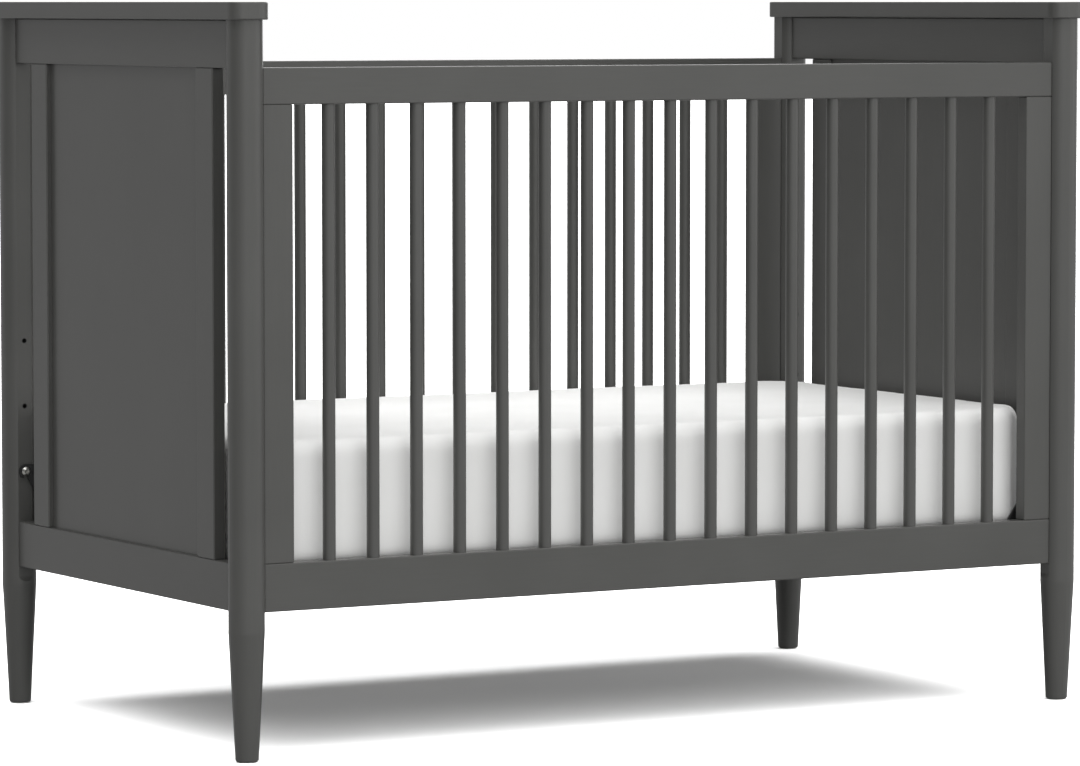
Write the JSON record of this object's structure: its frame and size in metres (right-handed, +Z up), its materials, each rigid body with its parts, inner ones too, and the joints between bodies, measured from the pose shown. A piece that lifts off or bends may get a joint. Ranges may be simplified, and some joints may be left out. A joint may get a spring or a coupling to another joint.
{
  "type": "baby crib",
  "caption": "Fixed-sided spindle crib with solid panelled ends, round tapered posts, flat capped ends and a height-adjustable mattress support with its mattress.",
  "frame": {"origin": "middle of the footprint, on the floor under the feet", "axes": "+X along the crib to the right end, +Y from the front to the back, +Z up"},
  "size_m": [1.405, 0.7944, 1.0316],
  "materials": {
    "painted_wood": "satin charcoal paint",
    "mattress_cover": "white knitted cotton",
    "black_steel": "black powder coat",
    "zinc_steel": "zinc plated",
    "bare_beech": "bare beech",
    "glide_plastic": "moulded polyethylene"
  },
  "bodies": {
    "crib_frame": {"back_bottom_rail": "painted_wood", "back_left_post": "painted_wood", "back_left_stile": "painted_wood", "back_right_post": "painted_wood", "back_right_stile": "painted_wood", "back_spindles": "painted_wood", "back_top_rail": "painted_wood", "cam_locks": "zinc_steel", "cam_studs": "zinc_steel", "foot_glides": "glide_plastic", "front_bottom_rail": "painted_wood", "front_left_post": "painted_wood", "front_left_stile": "painted_wood", "front_right_post": "painted_wood", "front_right_stile": "painted_wood", "front_spindle_01": "painted_wood", "front_spindle_02": "painted_wood", "front_spindle_03": "painted_wood", "front_spindle_04": "painted_wood", "front_spindle_05": "painted_wood", "front_spindle_06": "painted_wood", "front_spindle_07": "painted_wood", "front_spindle_08": "painted_wood", "front_spindle_09": "painted_wood", "front_spindle_10": "painted_wood", "front_spindle_11": "painted_wood", "front_spindle_12": "painted_wood", "front_spindle_13": "painted_wood", "front_spindle_14": "painted_wood", "front_spindle_15": "painted_wood", "front_spindle_16": "painted_wood", "front_spindle_17": "painted_wood", "front_top_rail": "painted_wood", "hanger_bolts": "zinc_steel", "left_cap": "painted_wood", "left_end_back_stile": "painted_wood", "left_end_bottom_rail": "painted_wood", "left_end_front_stile": "painted_wood", "left_end_panel": "painted_wood", "left_end_top_rail": "painted_wood", "right_cap": "painted_wood", "right_end_back_stile": "painted_wood", "right_end_bottom_rail": "painted_wood", "right_end_front_stile": "painted_wood", "right_end_panel": "painted_wood", "right_end_top_rail": "painted_wood", "threaded_inserts": "black_steel", "wood_dowels": "bare_beech"},
    "mattress_support": {"back_left_hanger": "black_steel", "back_right_hanger": "black_steel", "deck_cross_wires": "black_steel", "deck_long_wires": "black_steel", "deck_springs": "black_steel", "front_left_hanger": "black_steel", "front_right_hanger": "black_steel", "support_back_rail": "black_steel", "support_front_rail": "black_steel", "support_left_rail": "black_steel", "support_right_rail": "black_steel"},
    "mattress": {"mattress": "mattress_cover"}
  },
  "joints": [
    {"name": "support_height", "type": "slide", "parent": "crib_frame", "child": "mattress_support", "axis": [0, 0, 1], "range_m": [0, 0.192]},
    {"name": "mattress_lift", "type": "slide", "parent": "mattress_support", "child": "mattress", "axis": [0, 0, 1], "range_m": [0, 0.35]}
  ]
}
